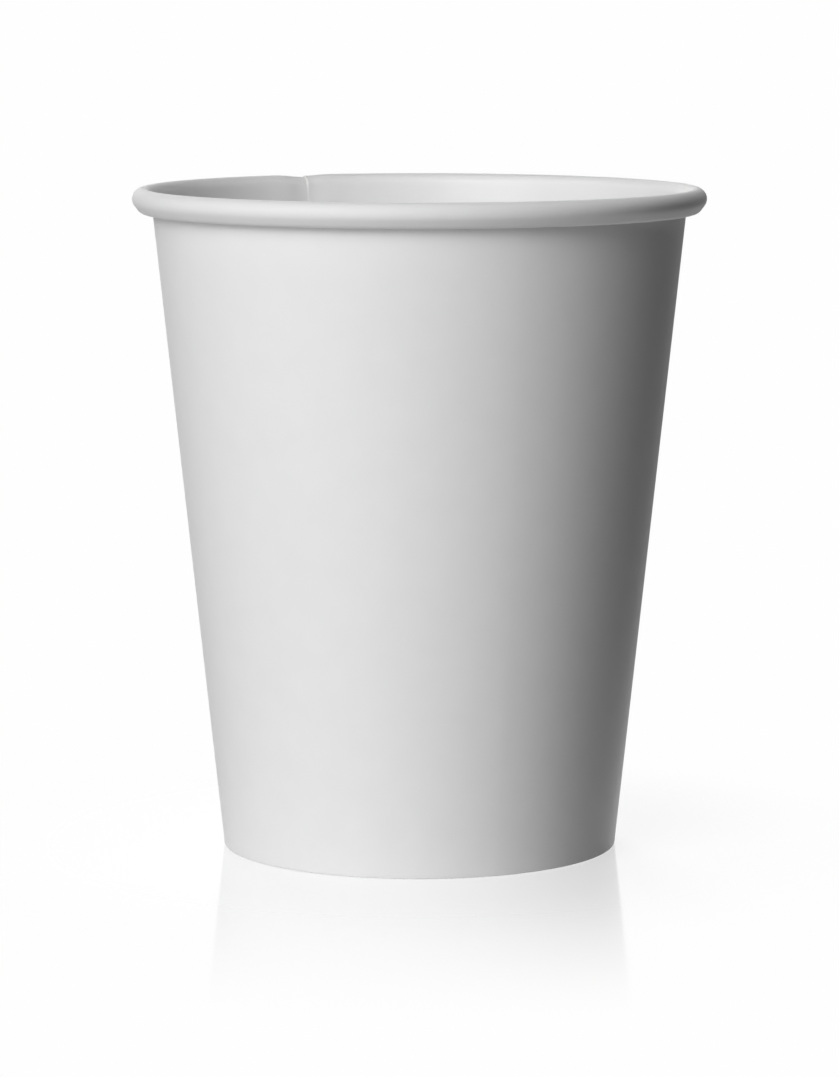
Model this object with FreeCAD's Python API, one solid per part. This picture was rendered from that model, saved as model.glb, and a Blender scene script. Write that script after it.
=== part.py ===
import FreeCAD, Part
import math
import os

# Paper coffee cup. Sizes are in millimetres, +Z is up and the origin is the middle of the foot.
# A fan-shaped blank of board is wound into the side wall and lapped at one upright seam. Its upper
# edge is rolled outwards into the rim, and its lower edge is folded inwards and up into a hem,
# which grips the turned-down skirt of the base disc.

# Main sizes
rim_diameter = 80.4
cup_height = 93.0
foot_diameter = 55.5

# Boards, and the film that melts between them where they are sealed
wall_board = 0.35
base_board = 0.30
seal_film = 0.02

# Rolled rim: the bead's width is measured from the wall's inner face, its side is the drop from the
# middle of its upper bend, the crown, to that of its lower bend, the heel, and the core is the
# hollow left in the heel where the board is doubled at the seam
bead_width = 3.0
bead_side = 0.95
core_radius = 0.35
curl_gap = 0.05
curl_end_angle = -240.0

# Foot: the recess is from the table up to the underside of the base disc
base_recess = 6.5
hem_drop = 1.3
skirt_lift = 0.15
disc_bend = 0.5
fold_crease = 0.05
fold_round = 0.25

# Side seam: angles about the axis, counted from +X, with the camera's side at -Y
seam_angle = 111.0
lap_angle = 10.0
ramp_angle = 7.0
ramp_steps = 3

# Places that follow from the sizes
rim_radius = rim_diameter / 2
foot_radius = foot_diameter / 2
crown_radius = bead_width / 2
heel_radius = core_radius + 2 * wall_board
skirt_pocket = base_board + 2 * seal_film
hem_top = base_recess - hem_drop
skirt_bottom = 2 * wall_board + skirt_lift

# Directions: towards the cup's axis in the roll's own angles, and a whole turn about that axis
inwards = 180.0
whole_turn = 360.0
axis_point = FreeCAD.Vector(0, 0, 0)
axis_up = FreeCAD.Vector(0, 0, 1)


def wall_lean():
    """Angle of the wall from upright, so that its outer face runs from the foot into the rim's crown."""
    run = rim_radius - crown_radius - foot_radius
    rise = cup_height - crown_radius
    inset = crown_radius - wall_board
    return math.acos(inset / math.hypot(run, rise)) - math.atan2(rise, run)


lean = wall_lean()
outward = FreeCAD.Vector(math.cos(lean), 0, -math.sin(lean))
upward = FreeCAD.Vector(math.sin(lean), 0, math.cos(lean))
foot_corner = FreeCAD.Vector(foot_radius, 0, 0)


def beside_wall(out, up):
    """Point at a distance out from the wall's outer face, and up along it from the foot."""
    return foot_corner + outward * out + upward * up


def at_height(out, height):
    """Point on the line parallel to the wall at a distance out, at a height above the table."""
    return beside_wall(out, (height + out * math.sin(lean)) / math.cos(lean))


def turned(centre, radius, angle):
    """Point on a circle, with its angle in degrees from outwards towards up along the wall."""
    turn = math.radians(angle)
    return centre + outward * (radius * math.cos(turn)) + upward * (radius * math.sin(turn))


def line(start, end):
    return Part.LineSegment(start, end).toShape()


def arc(centre, radius, start_angle, end_angle):
    """Arc about a centre, between two of the angles that turned() takes."""
    middle_angle = (start_angle + end_angle) / 2
    ends = [turned(centre, radius, angle) for angle in (start_angle, middle_angle, end_angle)]
    return Part.Arc(*ends).toShape()


def rounded(before, corner, after, radius):
    """Start, middle and end of the arc that rounds a corner between two straight lines."""
    back = (before - corner).normalize()
    ahead = (after - corner).normalize()
    half = back.getAngle(ahead) / 2
    reach = radius / math.tan(half)
    inward = (back + ahead).normalize()
    middle = corner + inward * (radius / math.sin(half) - radius)
    return corner + back * reach, middle, corner + ahead * reach


crown_centre = FreeCAD.Vector(rim_radius - crown_radius, 0, cup_height - crown_radius)
crown_up = (crown_centre - foot_corner).dot(upward)


def heel_centre(lift):
    """Centre of the roll's lower bend, which stands off by the seam's extra board where there is one."""
    return beside_wall(curl_gap + heel_radius + lift * wall_board, crown_up - bead_side)


def side_angle(lift):
    """Direction of the normal of the roll's straight side, which is tangent to both of its bends."""
    step = heel_centre(lift) - crown_centre
    heading = math.atan2(step.dot(upward), step.dot(outward))
    return math.degrees(heading + math.acos((crown_radius - heel_radius) / step.Length))


def board_face(layer, lift):
    """Edges of one face of the wound board in section, from the hem's top to the end of the curl.

    Layer 0 is the inner face of the wall, and each layer after it lies one board further out. Lift
    is how far the lap raises the fold and the heel, from 0 beside the seam to 1 in it.
    """
    wall_out = (layer - 1) * wall_board
    hem_out = -(layer + 1) * wall_board - skirt_pocket
    sole = (1 + lift - layer) * wall_board
    fold_radius = fold_crease + layer * (fold_round - fold_crease)
    hem_up = (at_height(-wall_board - skirt_pocket, hem_top) - foot_corner).dot(upward)

    crown = crown_radius - layer * wall_board
    heel = heel_radius - layer * wall_board
    side = side_angle(lift)

    hem_end = beside_wall(hem_out, hem_up)
    inner_corner = at_height(hem_out, sole)
    outer_corner = at_height(wall_out, sole)
    roll_start = turned(crown_centre, crown, inwards)
    inner_bend = rounded(hem_end, inner_corner, outer_corner, fold_radius)
    outer_bend = rounded(inner_corner, outer_corner, roll_start, fold_radius)
    return [
        line(hem_end, inner_bend[0]),
        Part.Arc(*inner_bend).toShape(),
        line(inner_bend[2], outer_bend[0]),
        Part.Arc(*outer_bend).toShape(),
        line(outer_bend[2], roll_start),
        arc(crown_centre, crown, inwards, side),
        line(turned(crown_centre, crown, side), turned(heel_centre(lift), heel, side)),
        arc(heel_centre(lift), heel, side, curl_end_angle),
    ]


def board_section(inner_layer, outer_layer, lift):
    """Closed outline of the board between two of its faces, with the cut edges at hem and curl."""
    inner = board_face(inner_layer, lift)
    outer = board_face(outer_layer, lift)
    hem_edge = line(inner[0].Vertexes[0].Point, outer[0].Vertexes[0].Point)
    curl_edge = line(outer[-1].Vertexes[-1].Point, inner[-1].Vertexes[-1].Point)
    return Part.Wire([hem_edge] + outer + [curl_edge] + inner[::-1])


# The board's section round the cup, as (inner layer, outer layer, lift)
plain = (0, 1, 0)
raised = (1, 2, 1)
doubled = (0, 2, 1)
seated = (0, 1, 1)


def at_angle(outline, angle):
    placed = outline.copy()
    placed.rotate(axis_point, axis_up, angle)
    return placed


def swept(section, start_angle, end_angle):
    """The board with one section all the way between two angles."""
    face = Part.Face(at_angle(board_section(*section), start_angle))
    return face.revolve(axis_point, axis_up, end_angle - start_angle)


def blended(start_section, start_angle, end_section, end_angle):
    """The board changing evenly from one section to another between two angles."""
    outlines = []
    for step in range(ramp_steps + 1):
        share = step / ramp_steps
        section = [a + (b - a) * share for a, b in zip(start_section, end_section)]
        angle = start_angle + (end_angle - start_angle) * share
        outlines.append(at_angle(board_section(*section), angle))
    return Part.makeLoft(outlines, True, True)


def side_wall():
    """The wound wall with its lapped seam, rolled rim and folded hem, as one piece of board."""
    outer_edge = seam_angle - lap_angle / 2
    inner_edge = seam_angle + lap_angle / 2
    settle_end = outer_edge - ramp_angle
    ramp_start = inner_edge + ramp_angle
    zones = [
        blended(plain, settle_end, seated, outer_edge),
        swept(doubled, outer_edge, inner_edge),
        blended(raised, inner_edge, plain, ramp_start),
    ]
    wall = swept(plain, ramp_start, settle_end + whole_turn).multiFuse(zones)
    return wall.removeSplitter()


def base_disc():
    """The pressed disc: a flat floor with a skirt turned down along the wall, inside the hem."""
    skirt_out = -wall_board - seal_film
    skirt_in = skirt_out - base_board
    floor_top = base_recess + base_board
    skirt_up = (at_height(skirt_out, skirt_bottom) - foot_corner).dot(upward)

    top_middle = FreeCAD.Vector(0, 0, floor_top)
    under_middle = FreeCAD.Vector(0, 0, base_recess)
    skirt_outer_end = beside_wall(skirt_out, skirt_up)
    skirt_inner_end = beside_wall(skirt_in, skirt_up)
    outer_bend = rounded(
        top_middle, at_height(skirt_out, floor_top), skirt_outer_end, disc_bend + base_board
    )
    inner_bend = rounded(
        skirt_inner_end, at_height(skirt_in, base_recess), under_middle, disc_bend
    )
    outline = Part.Wire([
        line(top_middle, outer_bend[0]),
        Part.Arc(*outer_bend).toShape(),
        line(outer_bend[2], skirt_outer_end),
        line(skirt_outer_end, skirt_inner_end),
        line(skirt_inner_end, inner_bend[0]),
        Part.Arc(*inner_bend).toShape(),
        line(inner_bend[2], under_middle),
        line(under_middle, top_middle),
    ])
    return Part.Face(outline).revolve(axis_point, axis_up, whole_turn)


pieces = {
    "side_wall": side_wall(),
    "base_disc": base_disc(),
}

os.makedirs("parts", exist_ok=True)
for name, shape in pieces.items():
    shape.exportStep(f"parts/{name}.step")
    box = shape.optimalBoundingBox()
    print(
        f"{name}: {len(shape.Solids)} solid, {len(shape.Faces)} faces, volume {shape.Volume:.1f} mm3,"
        f" {box.XLength:.2f} x {box.YLength:.2f} x {box.ZLength:.2f} mm"
    )
print(f"wall leans {math.degrees(lean):.2f} degrees from upright")
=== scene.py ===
# %% [markdown]
# # A paper coffee cup
# The real cup is two pieces of board. One fan-shaped blank is wound into the side wall, lapped at a
# seam, rolled out at the top and folded in at the foot. The other is the base disc, whose edge is
# pressed down into a skirt and held in that fold. The construction model is loaded first and never
# changed: the two pieces made here stand in its place, with the same sizes and a finer surface.

# %% Load the construction model
import math

import bmesh
import bpy
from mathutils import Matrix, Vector


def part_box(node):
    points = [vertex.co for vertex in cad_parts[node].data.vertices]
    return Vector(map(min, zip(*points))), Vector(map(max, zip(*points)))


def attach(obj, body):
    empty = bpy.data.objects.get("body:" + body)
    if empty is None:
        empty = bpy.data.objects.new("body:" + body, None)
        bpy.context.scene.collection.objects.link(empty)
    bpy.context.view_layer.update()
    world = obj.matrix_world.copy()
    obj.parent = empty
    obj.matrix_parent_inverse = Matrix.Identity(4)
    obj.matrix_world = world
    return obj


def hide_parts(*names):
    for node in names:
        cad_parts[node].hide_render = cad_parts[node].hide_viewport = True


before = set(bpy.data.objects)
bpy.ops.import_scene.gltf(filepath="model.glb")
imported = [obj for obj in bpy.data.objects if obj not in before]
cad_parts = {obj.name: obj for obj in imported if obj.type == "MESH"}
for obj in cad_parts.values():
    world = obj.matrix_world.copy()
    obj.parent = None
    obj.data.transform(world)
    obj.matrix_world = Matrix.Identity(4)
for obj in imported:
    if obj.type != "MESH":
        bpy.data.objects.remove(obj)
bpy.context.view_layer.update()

wall_low, wall_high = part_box("side_wall")
base_low, base_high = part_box("base_disc")
print("pieces of the construction model:", sorted(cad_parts))

# %% [markdown]
# ## Sizes
# Everything is in metres. The outer sizes come from the construction model, so the finer surface
# can't grow past it: a mesh of flat triangles is a few microns smaller than a true circle, and its
# smallest reach is taken. The board's thickness and the bends are the ones that a cup of this size
# has: thin board, a bead of about 3 mm, and a fold that is nearly sharp on its inside.

# %% Sizes of the cup
mm = 0.001

rim_radius = min(-wall_low.x, wall_high.x, -wall_low.y, wall_high.y)
cup_height = wall_high.z
foot_radius = 27.75 * mm

wall_board = 0.35 * mm
base_board = 0.30 * mm
seal_film = 0.02 * mm

bead_width = 3.0 * mm
bead_side = 0.95 * mm
core_radius = 0.35 * mm
curl_gap = 0.05 * mm
curl_end_angle = math.radians(-240)

floor_top = base_high.z
base_recess = floor_top - base_board
skirt_bottom = base_low.z
hem_drop = 1.3 * mm
disc_bend = 0.5 * mm
fold_crease = 0.05 * mm
fold_round = 0.25 * mm

crown_radius = bead_width / 2
heel_radius = core_radius + 2 * wall_board
skirt_pocket = base_board + 2 * seal_film
print(f"rim {2 * rim_radius / mm:.2f} mm across, {cup_height / mm:.2f} mm tall")

# %% [markdown]
# ## The section's own directions
# A cup is easiest to draw in a slice through its axis. The wall leans, so the slice gets a pair of
# directions of its own: outward, square to the wall, and upward, along it. Any point of the board is
# then a distance out from the wall's outer face and a distance up from the foot. The lean follows
# from the sizes: the wall's outer face has to leave the foot's corner and run tangent to the bead.

# %% Directions along the wall and square to it
run = rim_radius - crown_radius - foot_radius
rise = cup_height - crown_radius
lean = math.acos((crown_radius - wall_board) / math.hypot(run, rise)) - math.atan2(rise, run)

outward = Vector((math.cos(lean), 0, -math.sin(lean)))
upward = Vector((math.sin(lean), 0, math.cos(lean)))
foot_corner = Vector((foot_radius, 0, 0))
crown_centre = Vector((rim_radius - crown_radius, 0, cup_height - crown_radius))
crown_up = (crown_centre - foot_corner).dot(upward)


def beside_wall(out, up):
    return foot_corner + outward * out + upward * up


def at_height(out, height):
    return beside_wall(out, (height + out * math.sin(lean)) / math.cos(lean))


def turned(centre, radius, angle):
    return centre + (outward * math.cos(angle) + upward * math.sin(angle)) * radius


print(f"the wall leans {math.degrees(lean):.2f} degrees from upright")

# %% [markdown]
# ## Lines and bends as points
# The outline is a chain of straight runs and round bends. Each helper gives its points without the
# last one, because the next run starts there. Straight runs put their points closer together near
# the ends. Smooth shading blends the direction of neighbouring faces, and a short face beside a bend
# keeps that blend from washing up the wall as a false shadow.

# %% Helpers that turn runs and bends into points
def straight(start, end, pieces):
    shares = [i / pieces for i in range(pieces)]
    return [start.lerp(end, share * share * (3 - 2 * share)) for share in shares]


def bend(centre, radius, first, last, pieces):
    return [turned(centre, radius, first + (last - first) * i / pieces) for i in range(pieces)]


def rounded(before, corner, after, radius, pieces):
    back = (before - corner).normalized()
    ahead = (after - corner).normalized()
    half = back.angle(ahead) / 2
    centre = corner + (back + ahead).normalized() * (radius / math.sin(half))
    first = (corner + back * (radius / math.tan(half)) - centre).normalized()
    last = (corner + ahead * (radius / math.tan(half)) - centre).normalized()
    return [centre + first.slerp(last, i / pieces) * radius for i in range(pieces + 1)]


# %% [markdown]
# ## The board's section
# One face of the wall's board is drawn from the top of the hem, down and round under the foot, up
# the wall, over the rim and round the curl. Its layer number says how many boards lie under it: at
# the seam the blank's outer end rides one layer further out. Lift says how far the doubled board
# raises the fold and pushes the curl off the wall. Drawing the section at two layers and two lifts
# gives, by subtraction, how each of its points moves where the seam needs it.

# %% One face of the wall's board
hem_pieces, fold_pieces, sole_pieces = 6, 4, 2
wall_pieces, crown_pieces, side_pieces, heel_pieces = 22, 18, 2, 16


def board_face(layer, lift):
    wall_out = (layer - 1) * wall_board
    hem_out = -(layer + 1) * wall_board - skirt_pocket
    sole = (1 + lift - layer) * wall_board
    fold_radius = fold_crease + layer * (fold_round - fold_crease)
    crown = crown_radius - layer * wall_board
    heel = heel_radius - layer * wall_board

    hem_top = at_height(-wall_board - skirt_pocket, base_recess - hem_drop)
    hem_end = beside_wall(hem_out, (hem_top - foot_corner).dot(upward))
    inner_corner = at_height(hem_out, sole)
    outer_corner = at_height(wall_out, sole)
    roll_start = turned(crown_centre, crown, math.pi)
    inner_fold = rounded(hem_end, inner_corner, outer_corner, fold_radius, fold_pieces)
    outer_fold = rounded(inner_corner, outer_corner, roll_start, fold_radius, fold_pieces)

    heel_centre = beside_wall(curl_gap + heel_radius + lift * wall_board, crown_up - bead_side)
    step = heel_centre - crown_centre
    heading = math.atan2(step.dot(upward), step.dot(outward))
    side = heading + math.acos((crown_radius - heel_radius) / step.length)
    side_start = turned(crown_centre, crown, side)
    side_end = turned(heel_centre, heel, side)
    return [
        *straight(hem_end, inner_fold[0], hem_pieces),
        *inner_fold[:-1],
        *straight(inner_fold[-1], outer_fold[0], sole_pieces),
        *outer_fold[:-1],
        *straight(outer_fold[-1], roll_start, wall_pieces),
        *bend(crown_centre, crown, math.pi, side, crown_pieces),
        *straight(side_start, side_end, side_pieces),
        *bend(heel_centre, heel, side, curl_end_angle, heel_pieces),
        turned(heel_centre, heel, curl_end_angle),
    ]


print(len(board_face(0, 0)), "points on each face of the wall's board")

# %% [markdown]
# ## The base disc's section
# The disc is drawn the same way, its coated top face first: out along the floor of the cup, round
# the pressed bend and down the skirt, and then back along the underside. It starts and ends on the
# axis, so turning it closes it into one solid sheet.

# %% Both faces of the base disc
floor_pieces, press_pieces, skirt_pieces = 12, 8, 6


def disc_face(skirt_out, height, bend_radius):
    middle = Vector((0, 0, height))
    corner = at_height(skirt_out, height)
    skirt_up = (at_height(-wall_board - seal_film, skirt_bottom) - foot_corner).dot(upward)
    skirt_end = beside_wall(skirt_out, skirt_up)
    press = rounded(middle, corner, skirt_end, bend_radius, press_pieces)
    return [
        *straight(middle, press[0], floor_pieces),
        *press[:-1],
        *straight(press[-1], skirt_end, skirt_pieces),
        skirt_end,
    ]


top_face = disc_face(-wall_board - seal_film, floor_top, disc_bend + base_board)
under_face = disc_face(-wall_board - seal_film - base_board, base_recess, disc_bend)
print(len(top_face), "points on each face of the base disc")

# %% [markdown]
# ## The section as a mesh that remembers how it moves
# Geometry Nodes can only wind what it is given, so each section becomes a small mesh: a strip of
# faces between the two sides of the board. Its points carry the numbers that the winding needs: the
# shift for one more layer, the shift for the lift, the distance along the board, where the hem is
# pressed, and how far the board's sealed edge is thinned. Only the inner face is thinned, and less on
# the roll. Storing the numbers as attributes keeps the drawing of the slice apart from its winding.

# %% Build a section mesh with its attributes
wall_thinning, roll_thinning = 1.0, 0.6


def add_object(name, data):
    made = bpy.data.objects.new(name, data)
    bpy.context.scene.collection.objects.link(made)
    return made


def loop(first_face, second_face):
    return first_face + second_face[::-1]


def section_object(name, first_face, second_face, attributes):
    points = loop(first_face, second_face)
    count = len(first_face)
    last = 2 * count - 1
    strip = [(i, i + 1, last - i - 1, last - i) for i in range(count - 1)]
    mesh = bpy.data.meshes.new(name)
    mesh.from_pydata(points, [], strip)
    for attribute_name, (kind, field, values) in attributes.items():
        attribute = mesh.attributes.new(attribute_name, kind, "POINT")
        for slot, value in zip(attribute.data, values):
            setattr(slot, field, value)
    return add_object(name, mesh)


def distances(face):
    total, found = 0.0, [0.0]
    for start, end in zip(face, face[1:]):
        total += (end - start).length
        found.append(total)
    return found


plain = loop(board_face(0, 0), board_face(1, 0))
seated = loop(board_face(0, 1), board_face(1, 1))
raised = loop(board_face(1, 1), board_face(2, 1))
layer_shift = [up - down for up, down in zip(raised, seated)]
lift_shift = [up - down for up, down in zip(seated, plain)]
face_count = len(plain) // 2
pressed = [0.0] * len(plain)
for i in range(1, hem_pieces):
    pressed[len(plain) - 1 - i] = math.sin(math.pi * i / hem_pieces)
roll_points = crown_pieces + side_pieces + heel_pieces + 1
thinned = [wall_thinning] * (face_count - roll_points) + [roll_thinning] * roll_points
thinned += [0.0] * face_count

wall_along = distances(plain[:face_count])
wall_section = section_object("side_wall_board", plain[:face_count], plain[face_count:][::-1], {
    "layer_shift": ("FLOAT_VECTOR", "vector", layer_shift),
    "lift_shift": ("FLOAT_VECTOR", "vector", lift_shift),
    "pressed": ("FLOAT", "value", pressed),
    "thinned": ("FLOAT", "value", thinned),
    "along": ("FLOAT", "value", wall_along + wall_along[::-1]),
})
disc_along = distances(top_face)
disc_section = section_object("base_disc_board", top_face, under_face, {
    "along": ("FLOAT", "value", disc_along + disc_along[::-1]),
})
print(f"the wall's blank is {wall_along[-1] / mm:.1f} mm from hem to curl")

# %% [markdown]
# ## Writing node trees as sums
# A node tree is only arithmetic drawn as boxes, so it reads best as arithmetic. One small class
# wraps a socket and turns Python's own signs into Math nodes. A second one adds any other node from
# its type, its settings and what goes into its sockets.

# %% A socket that does sums, and a tree that adds nodes
class Value:
    def __init__(self, nodes, socket):
        self.nodes = nodes
        self.socket = socket

    def __add__(self, other):
        return self.nodes.math("ADD", self, other)

    def __sub__(self, other):
        return self.nodes.math("SUBTRACT", self, other)

    def __rsub__(self, other):
        return self.nodes.math("SUBTRACT", other, self)

    def __mul__(self, other):
        return self.nodes.math("MULTIPLY", self, other)

    def __truediv__(self, other):
        return self.nodes.math("DIVIDE", self, other)

    __radd__ = __add__
    __rmul__ = __mul__


class Nodes:
    def __init__(self, tree):
        self.tree = tree

    def add(self, kind, settings=None, inputs=None, output=0):
        node = self.tree.nodes.new(kind)
        for name, setting in (settings or {}).items():
            setattr(node, name, setting)
        for key, value in (inputs or {}).items():
            self.feed(self.find(node.inputs, key), value)
        if node.outputs:
            return Value(self, self.find(node.outputs, output))

    def math(self, operation, *values):
        return self.add("ShaderNodeMath", {"operation": operation}, dict(enumerate(values)))

    def find(self, sockets, key):
        if isinstance(key, int):
            return sockets[key]
        return next(s for s in sockets if s.name == key and s.enabled)

    def feed(self, socket, value):
        if isinstance(value, (list, tuple)) and isinstance(value[0], Value):
            for one in value:
                self.tree.links.new(one.socket, socket)
        elif isinstance(value, Value):
            self.tree.links.new(value.socket, socket)
        else:
            socket.default_value = value


print("sums on sockets: + - * /")

# %% [markdown]
# ## Finish of the uncoated face
# The outside of the cup is bare white board, and so are the hem's inner side and the underside of
# the base. Seen close, board is a felt of short fibres: it is a little cloudy where the pulp lies
# thicker, and it has a fine tooth. The clouds are a soft noise a few millimetres wide that barely
# changes the white, and the tooth is a much finer one that only tilts the surface. It could be one
# flat white, but then nothing would tell paper from plastic.

# %% Uncoated white board
def grey(level):
    return (level, level, level, 1)


uncoated_white = grey(0.80)
uncoated_cloud = grey(0.835)
uncoated_specular = 0.3
uncoated_roughness = 0.60
cloud_scale, cloud_detail, cloud_share = 240.0, 3.0, 2.0
tooth_scale, tooth_detail, tooth_grain = 2600.0, 4.0, 0.6
tooth_height, tooth_strength, tooth_roughness = 0.02 * mm, 0.35, 0.12


def new_material(name):
    material = bpy.data.materials.new(name)
    material.use_nodes = True
    material.node_tree.nodes.clear()
    return material, Nodes(material.node_tree)


def noise(nodes, coordinates, scale, detail, grain=0.5):
    return nodes.add("ShaderNodeTexNoise", {}, {
        "Vector": coordinates,
        "Scale": scale,
        "Detail": detail,
        "Roughness": grain,
    })


def mixed_colour(nodes, factor, first, second):
    return nodes.add("ShaderNodeMix", {"data_type": "RGBA"}, {
        "Factor": factor,
        "A": first,
        "B": second,
    }, output="Result")


def bump(nodes, height, depth, strength):
    return nodes.add("ShaderNodeBump", {}, {
        "Strength": strength,
        "Distance": depth,
        "Height": height,
    })


def finish_board(nodes, colour, roughness, specular, normal):
    shader = nodes.add("ShaderNodeBsdfPrincipled", {}, {
        "Base Color": colour,
        "Roughness": roughness,
        "Specular IOR Level": specular,
        "Normal": normal,
    })
    nodes.add("ShaderNodeOutputMaterial", {}, {"Surface": shader})


def uncoated_board():
    material, nodes = new_material("uncoated_white_board")
    place = nodes.add("ShaderNodeTexCoord", output="Object")
    cloud = noise(nodes, place, cloud_scale, cloud_detail)
    tooth = noise(nodes, place, tooth_scale, tooth_detail, tooth_grain)
    colour = mixed_colour(nodes, cloud, uncoated_white, uncoated_cloud)
    roughness = uncoated_roughness + tooth * tooth_roughness
    normal = bump(nodes, tooth + cloud * cloud_share, tooth_height, tooth_strength)
    finish_board(nodes, colour, roughness, uncoated_specular, normal)
    return material


uncoated = uncoated_board()
print("made", uncoated.name)

# %% [markdown]
# ## Finish of the coated face
# The inside is lined with a clear film, so that the board doesn't soak. The same face is rolled
# outwards over the rim, where the lips touch it. The film fills the board's tooth: what is left is a
# softer ripple and a low sheen. Rolling the board over so tight a curl stretches the film and crimps
# the board, so past the start of the roll the face is duller and rougher, with faint creases that run
# over the bead. There its colour is also a little darker, which is painted shade for the creases. The
# creases are a noise drawn out along the board. The distance along the board, which each point
# carries, tells where the roll starts. Height can't tell it, because the wall inside the bead is as
# high as the bead.

# %% Coated white board
coated_white = grey(0.83)
coated_cloud = grey(0.85)
# The roll's colour, darker than the coated white: painted shade for the creases on the bead.
rolled_painted_shade = grey(0.785)
coated_specular = 0.35
coated_roughness = 0.36
rolled_roughness = 0.58
ripple_scale, ripple_detail = 900.0, 2.0
ripple_height, ripple_strength, ripple_roughness = 0.03 * mm, 0.4, 0.08
crease_spacing = 1.3 * mm
crease_length = 9.0 * mm
crease_detail, crease_share = 2.0, 2.0
roll_begins = wall_along[hem_pieces + sole_pieces + wall_pieces + 2 * fold_pieces]
roll_settles = roll_begins + 1.2 * mm


def coated_board():
    material, nodes = new_material("coated_white_board")
    place = nodes.add("ShaderNodeTexCoord", output="Object")
    cloud = noise(nodes, place, cloud_scale, cloud_detail)
    ripple = noise(nodes, place, ripple_scale, ripple_detail)
    around = nodes.add("ShaderNodeAttribute", {"attribute_name": "around"}, output="Fac")
    along = nodes.add("ShaderNodeAttribute", {"attribute_name": "along"}, output="Fac")
    over = nodes.add("ShaderNodeCombineXYZ", {}, {
        "X": around / crease_spacing,
        "Y": along / crease_length,
    })
    crease = noise(nodes, over, 1.0, crease_detail)
    on_roll = nodes.add("ShaderNodeMapRange", {"interpolation_type": "SMOOTHSTEP"}, {
        "Value": along,
        "From Min": roll_begins,
        "From Max": roll_settles,
    })
    flat_colour = mixed_colour(nodes, cloud, coated_white, coated_cloud)
    # Past the start of the roll the colour turns to the painted shade.
    colour = mixed_colour(nodes, on_roll, flat_colour, rolled_painted_shade)
    roughness = coated_roughness + ripple * ripple_roughness
    roughness = roughness + on_roll * (rolled_roughness - coated_roughness)
    normal = bump(
        nodes, ripple + on_roll * crease * crease_share, ripple_height, ripple_strength
    )
    finish_board(nodes, colour, roughness, coated_specular, normal)
    return material


coated = coated_board()
print("made", coated.name)

# %% [markdown]
# ## Finish of the cut edges
# Where the blank was cut, its layers of pulp show end on: at the seam, at the top of the hem and at
# the end of the curl. A cut edge is duller than the faces and a little creamier, with streaks of
# fibre. It is a third of a millimetre wide, so the streaks are a fine noise and nothing more.

# %% Cut edge of the board
cut_pale = (0.82, 0.81, 0.79, 1)
cut_dark = (0.74, 0.73, 0.70, 1)
cut_roughness = 0.85
fibre_scale, fibre_detail, fibre_grain = 9000.0, 3.0, 0.6
fibre_height, fibre_strength, fibre_roughness = 0.03 * mm, 0.6, 0.1


def cut_edge_board():
    material, nodes = new_material("cut_board_edge")
    place = nodes.add("ShaderNodeTexCoord", output="Object")
    fibre = noise(nodes, place, fibre_scale, fibre_detail, fibre_grain)
    colour = mixed_colour(nodes, fibre, cut_dark, cut_pale)
    roughness = cut_roughness + fibre * fibre_roughness
    normal = bump(nodes, fibre, fibre_height, fibre_strength)
    finish_board(nodes, colour, roughness, uncoated_specular, normal)
    return material


cut_edge = cut_edge_board()
print("made", cut_edge.name)

# %% [markdown]
# ## Winding the board
# On the machine the blank is wound round a cone until its second end laps over its first. The tree
# below does the same. It lays out a grid with one row for each point of the section and one column
# for each step round the cup, reads the section's point for each row, shifts it by what the seam
# needs at that angle, and turns it into place. Near the end of its turn the board ramps out by one
# layer, to ride over the end that it started from. A mesh swept by the Curve to Mesh node would need
# one section all the way, and the seam is just where the section changes. The same tree turns the
# base disc, which has no ends: its outline starts and stops on the axis. Numbers of rows and faces
# are whole, so each test on them is set half way between two of them.

# %% The tree that winds a section round the axis
weld_distance = 0.001 * mm
between = 0.5


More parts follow.
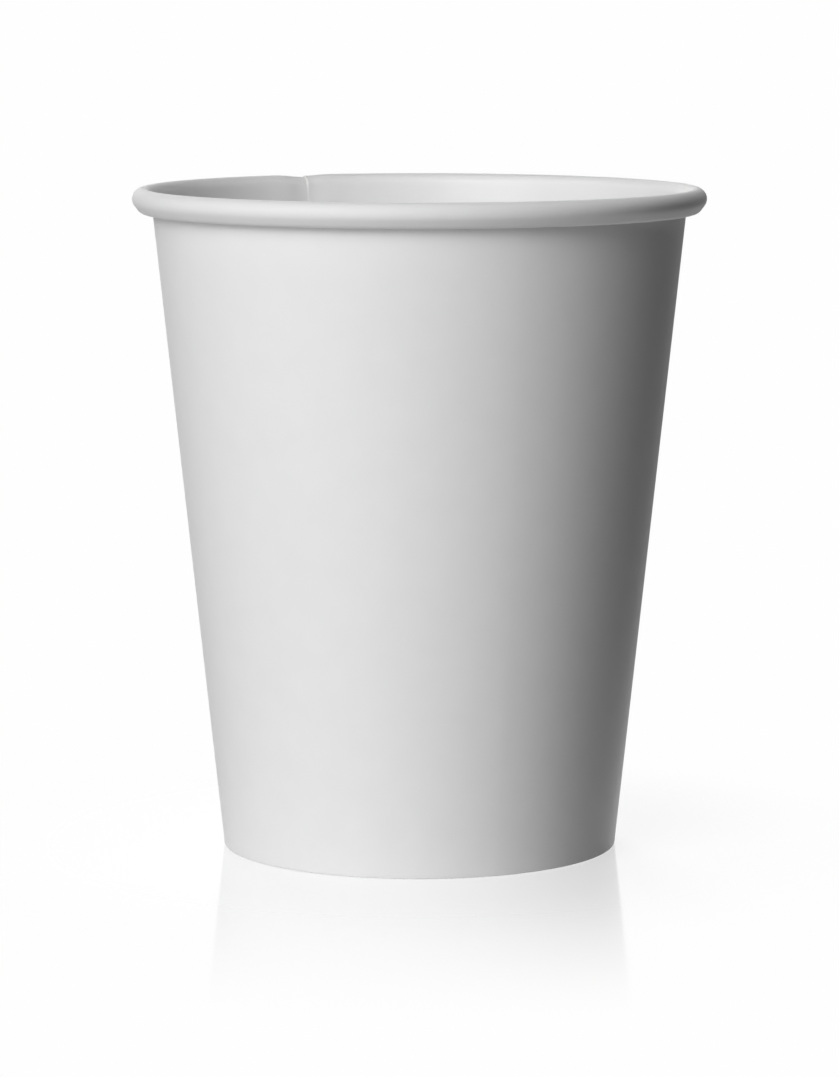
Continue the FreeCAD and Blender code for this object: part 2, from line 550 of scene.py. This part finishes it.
def wind_tree():
    tree = bpy.data.node_groups.new("wind_board", "GeometryNodeTree")
    face = tree.interface
    face.new_socket("Section", in_out="INPUT", socket_type="NodeSocketGeometry")
    for name in ("Start angle", "Turn", "Ramp", "Lap", "Layer raise", "Press depth", "Presses",
                 "Edge run", "Edge press"):
        face.new_socket(name, in_out="INPUT", socket_type="NodeSocketFloat")
    face.new_socket("Steps", in_out="INPUT", socket_type="NodeSocketInt")
    face.new_socket("Strip with two ends", in_out="INPUT", socket_type="NodeSocketBool")
    for name in ("First face", "Second face", "Cut edge"):
        face.new_socket(name, in_out="INPUT", socket_type="NodeSocketMaterial")
    face.new_socket("Board", in_out="OUTPUT", socket_type="NodeSocketGeometry")

    nodes = Nodes(tree)
    given = tree.nodes.new("NodeGroupInput")

    def asked(name):
        return Value(nodes, nodes.find(given.outputs, name))

    def stored(name, kind="FLOAT"):
        return nodes.add("GeometryNodeInputNamedAttribute", {"data_type": kind}, {"Name": name})

    def vector_sum(operation, inputs):
        return nodes.add("ShaderNodeVectorMath", {"operation": operation}, inputs)

    def eased(value, low, high):
        return nodes.add("ShaderNodeMapRange", {"interpolation_type": "SMOOTHSTEP"}, {
            "Value": value,
            "From Min": low,
            "From Max": high,
        })

    section = asked("Section")
    strip = asked("Strip with two ends")
    turn = asked("Turn")
    lap = asked("Lap")
    ramp = asked("Ramp")

    def placed(position, shift_layer, shift_lift, press, thin, angle):
        """A point of the section, shifted for the seam at this angle and turned into place."""
        over = eased(angle, turn - lap - ramp, turn - lap)
        lift = (over + 1.0 - eased(angle, lap, lap + ramp)) * asked("Layer raise")
        ridge = nodes.math("COSINE", asked("Presses") * angle) * 0.5 + 0.5
        edge = 1.0 - eased(angle, 0.0, asked("Edge run"))
        out = over * asked("Layer raise") + press * ridge * asked("Press depth")
        out = out + thin * edge * asked("Edge press")
        moved = vector_sum("MULTIPLY_ADD", {0: shift_layer, 1: out, 2: position})
        moved = vector_sum("MULTIPLY_ADD", {0: shift_lift, 1: lift * strip, 2: moved})
        return nodes.add("ShaderNodeVectorRotate", {"rotation_type": "Z_AXIS"}, {
            "Vector": moved,
            "Angle": asked("Start angle") - angle,
        })

    points = nodes.add(
        "GeometryNodeAttributeDomainSize", {}, {"Geometry": section}, output="Point Count"
    )
    rows = points + strip
    grid = nodes.add("GeometryNodeMeshGrid", {}, {
        "Vertices X": asked("Steps") + 1.0,
        "Vertices Y": rows,
    })
    index = nodes.add("GeometryNodeInputIndex")
    column = nodes.math("FLOOR", (index + between) / rows)
    row = nodes.math("MODULO", index - column * rows, points)

    def sampled(value, kind="FLOAT"):
        return nodes.add("GeometryNodeSampleIndex", {"data_type": kind}, {
            "Geometry": section,
            "Value": value,
            "Index": row,
        })

    angle = turn * column / asked("Steps")
    wound = nodes.add("GeometryNodeSetPosition", {}, {
        "Geometry": grid,
        "Position": placed(
            sampled(nodes.add("GeometryNodeInputPosition"), "FLOAT_VECTOR"),
            sampled(stored("layer_shift", "FLOAT_VECTOR"), "FLOAT_VECTOR"),
            sampled(stored("lift_shift", "FLOAT_VECTOR"), "FLOAT_VECTOR"),
            sampled(stored("pressed")),
            sampled(stored("thinned")),
            angle,
        ),
    })

    def kept(geometry, domain, name, value):
        return nodes.add("GeometryNodeStoreNamedAttribute", {"domain": domain}, {
            "Geometry": geometry,
            "Name": name,
            "Value": value,
        })

    face_row = nodes.math("MODULO", index, rows - 1.0)
    half = points / 2
    on_first = nodes.math("LESS_THAN", face_row, half - (1 + between))
    past_first = nodes.math("GREATER_THAN", face_row, half - between)
    on_second = past_first * nodes.math("LESS_THAN", face_row, points - (1 + between))
    wound = kept(wound, "FACE", "side", on_first + on_second * 2.0)
    wound = kept(wound, "POINT", "around", angle * rim_radius)
    wound = kept(wound, "POINT", "along", sampled(stored("along")))

    ends = [
        nodes.add("GeometryNodeSetPosition", {}, {
            "Geometry": section,
            "Position": placed(
                nodes.add("GeometryNodeInputPosition"),
                stored("layer_shift", "FLOAT_VECTOR"),
                stored("lift_shift", "FLOAT_VECTOR"),
                stored("pressed"),
                stored("thinned"),
                angle_of_end,
            ),
        })
        for angle_of_end in (0.0, turn)
    ]
    with_ends = nodes.add("GeometryNodeJoinGeometry", {}, {"Geometry": [wound, *ends]})
    chosen = nodes.add("GeometryNodeSwitch", {"input_type": "GEOMETRY"}, {
        "Switch": strip,
        "False": wound,
        "True": with_ends,
    })
    board = nodes.add("GeometryNodeMergeByDistance", {}, {
        "Geometry": chosen,
        "Distance": weld_distance,
    })
    board = nodes.add("GeometryNodeRealizeInstances", {}, {"Geometry": board})
    is_face = nodes.math("GREATER_THAN", stored("side"), between)
    is_second = nodes.math("GREATER_THAN", stored("side"), 1 + between)
    board = nodes.add("GeometryNodeSetShadeSmooth", {}, {"Geometry": board, "Shade Smooth": is_face})
    board = nodes.add("GeometryNodeSetMaterial", {}, {
        "Geometry": board,
        "Material": asked("Cut edge"),
    })
    for selection, name in ((is_face, "First face"), (is_second, "Second face")):
        board = nodes.add("GeometryNodeSetMaterial", {}, {
            "Geometry": board,
            "Selection": selection,
            "Material": asked(name),
        })
    nodes.add("NodeGroupOutput", {}, {"Board": board})
    return tree


winding = wind_tree()
print(len(winding.nodes), "nodes wind a section into board")

# %% [markdown]
# ## From the tree to a plain piece
# A modifier's inputs are set by their sockets' identifiers. The evaluated result is copied into a
# plain mesh, so that the finished piece has no modifier left on it. Its faces are turned outwards.
# The rims of the flat cut edges are marked sharp, or the smooth faces beside them would borrow their
# direction and show a bright line that isn't there. The two numbers printed for each piece show that
# it is closed and the right way out: no open edges, and a positive volume, which is the volume of
# board in it.

# %% Wind a section and finish it as a piece
def wind(section, piece_name, node_name, values):
    modifier = section.modifiers.new("wind", "NODES")
    modifier.node_group = winding
    for item in winding.interface.items_tree:
        if item.name in values:
            modifier[item.identifier] = values[item.name]
    graph = bpy.context.evaluated_depsgraph_get()
    mesh = bpy.data.meshes.new_from_object(
        section.evaluated_get(graph), preserve_all_data_layers=True, depsgraph=graph
    )
    section.modifiers.clear()
    bpy.data.objects.remove(section)

    working = bmesh.new()
    working.from_mesh(mesh)
    bmesh.ops.recalc_face_normals(working, faces=working.faces)
    for edge in working.edges:
        edge.smooth = all(face.smooth for face in edge.link_faces)
    open_edges = sum(len(edge.link_faces) != 2 for edge in working.edges)
    volume = working.calc_volume(signed=True) / mm**3
    working.to_mesh(mesh)
    working.free()

    mesh.name = piece_name
    piece = add_object(piece_name, mesh)
    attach(piece, "root")
    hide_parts(node_name)
    print(f"{piece_name}: {len(mesh.polygons)} faces, {open_edges} open edges, {volume:.0f} mm3")
    return piece


# %% [markdown]
# ## The side wall
# The seam is at the back, a little to the left as the camera sees it. The blank starts at the
# inner edge of the lap, goes once round clockwise, and ends at the outer edge, so it turns by a whole
# circle and the lap. Its inner edge is pressed thin where it is sealed, so only a soft step shows in
# the mouth. A film seals the lap, so the outer layer and the lift that makes room for it are both
# stretched by the film's thickness, and the fold stays on the table. The hem is pressed against the
# skirt by a toothed roller, which leaves shallow upright ridges inside the foot, on the visible face
# of the hem only.

# %% Wind the side wall
seam_angle = math.radians(111)
lap_angle = math.radians(10)
ramp_angle = math.radians(7)
wall_steps = 600
press_depth = 0.06 * mm
press_count = 96
edge_run = 4 * mm
edge_press = 0.85

side_wall = wind(wall_section, "wound_side_wall", "side_wall", {
    "Start angle": seam_angle + lap_angle / 2,
    "Turn": 2 * math.pi + lap_angle,
    "Ramp": ramp_angle,
    "Lap": lap_angle,
    "Layer raise": 1 + seal_film / 2 / wall_board,
    "Press depth": press_depth / wall_board,
    "Presses": float(press_count),
    "Edge run": edge_run / rim_radius,
    "Edge press": edge_press,
    "Steps": wall_steps,
    "Strip with two ends": True,
    "First face": coated,
    "Second face": uncoated,
    "Cut edge": cut_edge,
})

# %% [markdown]
# ## The base disc
# The disc's coated side is up, towards the drink. It is pressed from one flat round blank, so it has
# no seam. The tree asks for a ramp and a lap all the same, and nothing of the disc moves with them.

# %% Turn the base disc
disc_steps = 360

base_disc = wind(disc_section, "pressed_base_disc", "base_disc", {
    "Start angle": 0.0,
    "Turn": 2 * math.pi,
    "Ramp": ramp_angle,
    "Lap": lap_angle,
    "Layer raise": 0.0,
    "Press depth": 0.0,
    "Presses": 0.0,
    "Edge run": ramp_angle,
    "Edge press": 0.0,
    "Steps": disc_steps,
    "Strip with two ends": False,
    "First face": coated,
    "Second face": uncoated,
    "Cut edge": cut_edge,
})

# %% [markdown]
# ## The table
# The cup stands on a glossy white table that melts into a white background, with a faint mirror
# image of the cup that fades away from the foot. What is seen of the table is mostly an even white of
# its own, and near the foot a share of it answers to the lamps, which shows the soft shadow there.
# What the cup gets back from the table is set apart from that: more near the foot than further out,
# so that the foot is pale and the upper wall keeps its depth. Light passes up through the table and
# it is see-through from below, so that the underside of the cup can be lit and looked at.

# %% Floor and background
floor_half = 3.0
floor_drop = 0.02 * mm
background_white = grey(0.991)
near_bounce = grey(0.38)
far_bounce = grey(0.135)
bounce_reach = 45 * mm
open_floor = 0.18
shadow_share = 0.25
gloss_share = 0.30
gloss_roughness = 0.095
fade_reach = 87 * mm


def seen_by_eye(nodes):
    """1 where a ray comes from the camera, a mirror or glass, and 0 where it carries light about."""
    camera, glossy, through = (
        nodes.add("ShaderNodeLightPath", output=name)
        for name in ("Is Camera Ray", "Is Glossy Ray", "Is Transmission Ray")
    )
    return nodes.math("MAXIMUM", nodes.math("MAXIMUM", camera, glossy), through)


def floor_material():
    material, nodes = new_material("white_table")

    def mixed(factor, first, second):
        return nodes.add("ShaderNodeMixShader", {}, {0: factor, 1: first, 2: second})

    place = nodes.add("ShaderNodeTexCoord", output="Object")
    distance = nodes.add(
        "ShaderNodeVectorMath", {"operation": "LENGTH"}, {0: place}, output="Value"
    )

    def near(reach):
        return nodes.add("ShaderNodeMapRange", {"interpolation_type": "SMOOTHSTEP"}, {
            "Value": distance,
            "From Min": foot_radius,
            "From Max": foot_radius + reach,
            "To Min": 1.0,
            "To Max": 0.0,
        })

    even = nodes.add("ShaderNodeEmission", {}, {"Color": background_white})
    lit = nodes.add("ShaderNodeAddShader", {}, {
        0: nodes.add("ShaderNodeBsdfDiffuse", {}, {"Color": background_white}),
        1: nodes.add("ShaderNodeEmission", {}, {
            "Color": background_white,
            "Strength": open_floor,
        }),
    })
    mirror = nodes.add("ShaderNodeBsdfAnisotropic", {}, {
        "Color": background_white,
        "Roughness": gloss_roughness,
    })
    bounce = mixed(
        near(bounce_reach),
        nodes.add("ShaderNodeBsdfDiffuse", {}, {"Color": far_bounce}),
        nodes.add("ShaderNodeBsdfDiffuse", {}, {"Color": near_bounce}),
    )
    shaded = mixed(near(bounce_reach) * shadow_share, even, lit)
    glossy = mixed(near(fade_reach) * gloss_share, shaded, mirror)
    above = mixed(seen_by_eye(nodes), bounce, glossy)
    below = nodes.add("ShaderNodeNewGeometry", output="Backfacing")
    to_lamp = nodes.add("ShaderNodeLightPath", output="Is Shadow Ray")
    clear = nodes.math("MAXIMUM", below, to_lamp)
    table = mixed(clear, above, nodes.add("ShaderNodeBsdfTransparent"))
    nodes.add("ShaderNodeOutputMaterial", {}, {"Surface": table})
    return material


floor_mesh = bpy.data.meshes.new("white_table")
corners = [
    (x * floor_half, y * floor_half, -floor_drop)
    for x, y in ((-1, -1), (1, -1), (1, 1), (-1, 1))
]
floor_mesh.from_pydata(corners, [], [(0, 1, 2, 3)])
floor_mesh.materials.append(floor_material())
floor = add_object("white_table", floor_mesh)
print("table", 2 * floor_half, "m across")

# %% [markdown]
# ## The light
# The light in the photograph is soft and comes from the front left, so the cup is bright there and
# falls to a deep grey at its right. Two lamps, one above the other, make that light, and a weak one
# overhead fills the mouth. One behind the cup shows that its back is as white as its front. Three are
# under the table: one reaches up under the bead, one lights the recess of the base, and one gives the
# foot the pale right edge that it has in the photograph. The background is white to the camera and in
# reflections only, because a white world all round would wash out the cup's dark side.

# %% World and lamps
def make_world():
    world = bpy.data.worlds.new("studio")
    world.use_nodes = True
    world.node_tree.nodes.clear()
    nodes = Nodes(world.node_tree)
    light = nodes.add("ShaderNodeBackground", {}, {
        "Color": background_white,
        "Strength": seen_by_eye(nodes),
    })
    nodes.add("ShaderNodeOutputWorld", {}, {"Surface": light})
    return world


def lamp(name, azimuth, elevation, distance, size, power, mirrored=True):
    """A square soft light that faces the cup, placed by its direction from the cup's middle."""
    data = bpy.data.lights.new(name, "AREA")
    data.shape = "SQUARE"
    data.size = size
    data.energy = power
    made = add_object(name, data)
    turn, tilt = math.radians(azimuth), math.radians(elevation)
    direction = Vector((
        math.sin(turn) * math.cos(tilt),
        -math.cos(turn) * math.cos(tilt),
        math.sin(tilt),
    ))
    made.location = Vector((0, 0, cup_height / 2)) + direction * distance
    made.rotation_euler = direction.to_track_quat("Z", "Y").to_euler()
    made.visible_camera = False
    made.visible_glossy = mirrored
    return made


bpy.context.scene.world = make_world()
lamps = [
    lamp("high_light", azimuth=-30, elevation=35, distance=1.0, size=0.6, power=4.8),
    lamp("low_light", azimuth=-30, elevation=20, distance=1.0, size=0.6, power=4.1),
    lamp("top_light", azimuth=0, elevation=90, distance=1.0, size=0.6, power=1.3),
    lamp("back_light", azimuth=-168, elevation=16, distance=1.2, size=0.4, power=12.0, mirrored=False),
    lamp("under_light", azimuth=-38, elevation=-45, distance=1.0, size=0.6, power=2.6),
    lamp("recess_light", azimuth=0, elevation=-90, distance=0.087, size=0.03, power=0.015),
    lamp("table_glow", azimuth=112, elevation=-47, distance=0.076, size=0.02, power=0.0054, mirrored=False),
]
print(len(lamps), "lamps")

# %% [markdown]
# ## The camera
# The camera looks along +Y from about 65 cm away, a little above the rim and tilted down. Its place
# and lens come from the photograph's rim and foot ellipses: the nearer the camera, the more the two
# differ in roundness.

# %% Camera
image_height = 1077
focal_pixels = 4632
sensor_width = 36.0
camera_place = Vector((0.0, -0.6494, 0.1275))
camera_pitch = math.radians(7.38)

camera_data = bpy.data.cameras.new("camera")
camera_data.sensor_width = sensor_width
camera_data.lens = sensor_width * focal_pixels / image_height
camera = add_object("camera", camera_data)
camera.location = camera_place
camera.rotation_euler = (math.pi / 2 - camera_pitch, 0, 0)
bpy.context.scene.camera = camera
bpy.context.scene.view_settings.view_transform = "Standard"
print(f"lens {camera_data.lens:.1f} mm")
